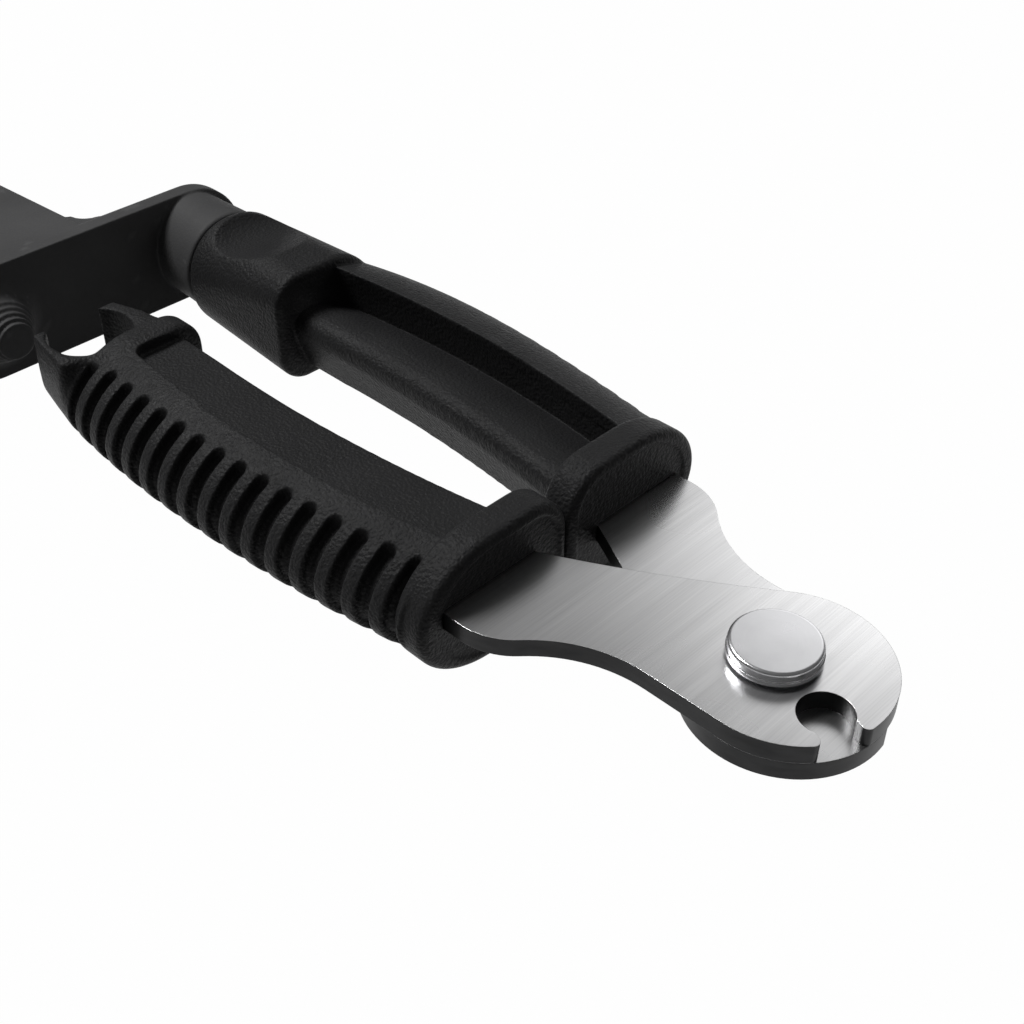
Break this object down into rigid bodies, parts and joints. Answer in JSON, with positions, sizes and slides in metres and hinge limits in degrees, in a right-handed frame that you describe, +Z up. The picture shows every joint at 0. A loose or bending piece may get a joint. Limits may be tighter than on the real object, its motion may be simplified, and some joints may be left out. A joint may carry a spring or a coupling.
{
  "type": "string winder",
  "caption": "Guitar string winder with peg-socket crank, plier-type side cutter and forked bridge-pin puller.",
  "frame": {"origin": "middle of the bounding box in plan, at the underside on which the closed tool lies", "axes": "+X towards the cutting nose, +Y to the side of the crank grip, +Z up out of the broad side"},
  "size_m": [0.1738, 0.0714, 0.0186],
  "materials": {
    "blade_steel": "brushed across the blade, bright edges",
    "rivet_steel": "fine turned and polished",
    "washer_steel": "dull",
    "axle_steel": "plain turned",
    "grip_plastic": "satin, fine leather-like mould grain",
    "crank_plastic": "smooth satin"
  },
  "bodies": {
    "crank_handle": {"crank_grip": "grip_plastic", "lower_blade": "blade_steel", "pivot_rivet": "rivet_steel", "pivot_washer": "washer_steel", "crank_axle": "axle_steel", "axle_washer": "washer_steel", "thrust_washer": "washer_steel"},
    "puller_handle": {"puller_grip": "grip_plastic", "upper_blade": "blade_steel"},
    "crank": {"winder_crank": "crank_plastic"}
  },
  "joints": [
    {"name": "handle_hinge", "type": "hinge", "parent": "crank_handle", "child": "puller_handle", "pos_m": [0.07295, 0.0065, 0.0093], "axis": [0, 0, 1], "range_deg": [0, 40]},
    {"name": "crank_turn", "type": "hinge", "parent": "crank_handle", "child": "crank", "pos_m": [-0.05485, 0.0209, 0.0093], "axis": [1, 0, 0], "continuous": true}
  ]
}
